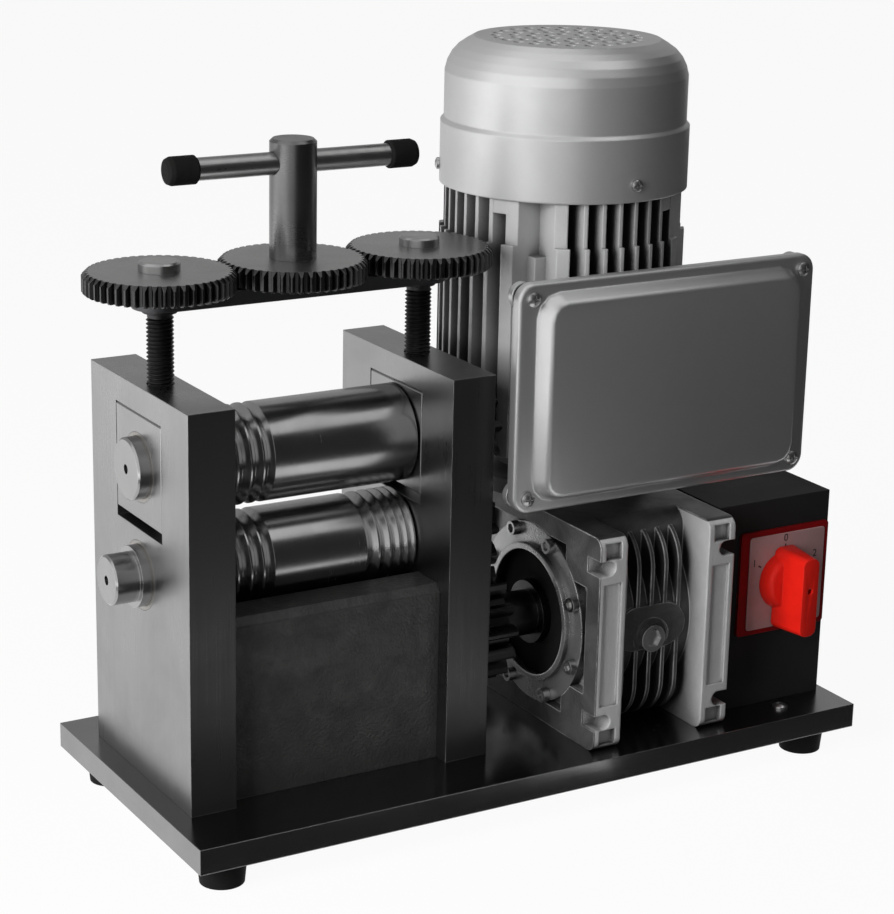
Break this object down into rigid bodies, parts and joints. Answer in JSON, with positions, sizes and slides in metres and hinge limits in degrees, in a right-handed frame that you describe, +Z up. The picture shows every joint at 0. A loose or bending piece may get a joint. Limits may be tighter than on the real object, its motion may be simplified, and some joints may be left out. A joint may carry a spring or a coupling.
{
  "type": "powered bench rolling mill",
  "caption": "Bench rolling mill with two grooved steel rolls, a geared screw-down with a T-handle, a worm gearbox, an upright motor and a switch box on one base plate.",
  "frame": {"origin": "middle of the machine's box on the floor, under the feet", "axes": "+X to the right along the rolls towards the gearbox, +Y to the back, +Z up"},
  "size_m": [0.4187, 0.193, 0.3945],
  "materials": {
    "black_steel": "satin, blackened",
    "roll_steel": "ground and polished",
    "bright_steel": "turned, bright",
    "plated_steel": "zinc plated",
    "bronze": "machined",
    "cast_aluminium": "as cast, satin",
    "grey_paint": "satin grey",
    "black_paint": "satin black",
    "black_rubber": "matte",
    "red_plastic": "gloss",
    "black_plastic": "matte",
    "pale_plastic": "matte",
    "lamination_steel": "dull"
  },
  "bodies": {
    "frame": {"base_plate": "black_steel", "rubber_feet": "black_rubber", "foot_screws": "plated_steel", "earth_screw": "plated_steel", "left_upright": "black_steel", "right_upright": "black_steel", "bed_block": "black_steel", "base_bolts": "black_steel", "lower_bushes": "bronze", "gearbox_housing": "cast_aluminium", "gearbox_cover": "cast_aluminium", "cover_screws": "plated_steel", "oil_seal": "black_rubber", "oil_plug": "plated_steel", "gearbox_bearings": "bright_steel", "motor_flange": "cast_aluminium", "flange_bolts": "plated_steel", "motor_housing": "cast_aluminium", "stator_core": "lamination_steel", "rear_shield": "cast_aluminium", "motor_bearings": "bright_steel", "fan_cowl": "grey_paint", "cowl_screws": "plated_steel", "capacitor_box": "cast_aluminium", "box_gasket": "black_rubber", "box_lid": "grey_paint", "lid_screws": "plated_steel", "capacitors": "cast_aluminium", "switch_box": "black_paint", "switch_box_screws": "plated_steel", "switch_plate": "red_plastic", "plate_screws": "plated_steel", "switch_body": "pale_plastic", "cable_gland": "black_plastic"},
    "yoke": {"yoke_bar": "black_steel"},
    "handle": {"centre_gear": "black_steel", "handle_post": "black_steel", "cross_bar": "bright_steel", "bar_caps": "black_rubber"},
    "left_adjuster": {"left_screw": "black_steel", "left_gear": "black_steel", "left_gear_nut": "bright_steel"},
    "right_adjuster": {"right_screw": "black_steel", "right_gear": "black_steel", "right_gear_nut": "bright_steel"},
    "carriage": {"left_chock": "black_steel", "right_chock": "black_steel", "upper_bushes": "bronze"},
    "upper_roll_set": {"upper_roll": "roll_steel", "upper_roll_gear": "black_steel"},
    "lower_roll_set": {"lower_roll": "roll_steel", "lower_roll_gear": "black_steel"},
    "output": {"output_shaft": "bright_steel", "drive_gear": "black_steel", "worm_wheel": "bronze"},
    "rotor": {"worm": "bright_steel", "motor_shaft": "bright_steel", "rotor_core": "lamination_steel", "cooling_fan": "black_plastic"},
    "selector": {"switch_knob": "red_plastic"}
  },
  "joints": [
    {"name": "yoke_lift", "type": "slide", "parent": "frame", "child": "yoke", "axis": [0, 0, 1], "range_m": [-0.0047, 0]},
    {"name": "handle_turn", "type": "hinge", "parent": "yoke", "child": "handle", "pos_m": [-0.09763, -0.00095, 0.288], "axis": [0, 0, 1], "range_deg": [0, 828]},
    {"name": "left_screw_turn", "type": "hinge", "parent": "yoke", "child": "left_adjuster", "pos_m": [-0.17112, -0.00095, 0.288], "axis": [0, 0, 1], "range_deg": [-828, 0]},
    {"name": "right_screw_turn", "type": "hinge", "parent": "yoke", "child": "right_adjuster", "pos_m": [-0.02413, -0.00095, 0.288], "axis": [0, 0, 1], "range_deg": [-828, 0]},
    {"name": "carriage_lift", "type": "slide", "parent": "frame", "child": "carriage", "axis": [0, 0, 1], "range_m": [-0.00458, 0]},
    {"name": "upper_roll_spin", "type": "hinge", "parent": "carriage", "child": "upper_roll_set", "pos_m": [-0.09763, -0.00095, 0.196], "axis": [1, 0, 0], "continuous": true},
    {"name": "lower_roll_spin", "type": "hinge", "parent": "frame", "child": "lower_roll_set", "pos_m": [-0.09763, -0.00095, 0.139], "axis": [1, 0, 0], "continuous": true},
    {"name": "output_spin", "type": "hinge", "parent": "frame", "child": "output", "pos_m": [0.08307, -0.02135, 0.089], "axis": [1, 0, 0], "continuous": true},
    {"name": "rotor_spin", "type": "hinge", "parent": "frame", "child": "rotor", "pos_m": [0.08307, 0.02865, 0.089], "axis": [0, 0, 1], "continuous": true},
    {"name": "knob_turn", "type": "hinge", "parent": "frame", "child": "selector", "pos_m": [0.17288, -0.0715, 0.102], "axis": [0, 1, 0], "range_deg": [-60, 60]}
  ],
  "couplings": [
    {"joint": "yoke_lift", "follows": "carriage_lift", "ratio": 1},
    {"joint": "handle_turn", "follows": "carriage_lift", "rad_per_m": -3141.6},
    {"joint": "left_screw_turn", "follows": "carriage_lift", "rad_per_m": 3141.6},
    {"joint": "right_screw_turn", "follows": "carriage_lift", "rad_per_m": 3141.6},
    {"joint": "output_spin", "follows": "rotor_spin", "ratio": -0.033333},
    {"joint": "lower_roll_spin", "follows": "rotor_spin", "ratio": 0.035897},
    {"joint": "upper_roll_spin", "follows": "rotor_spin", "ratio": -0.035897}
  ]
}
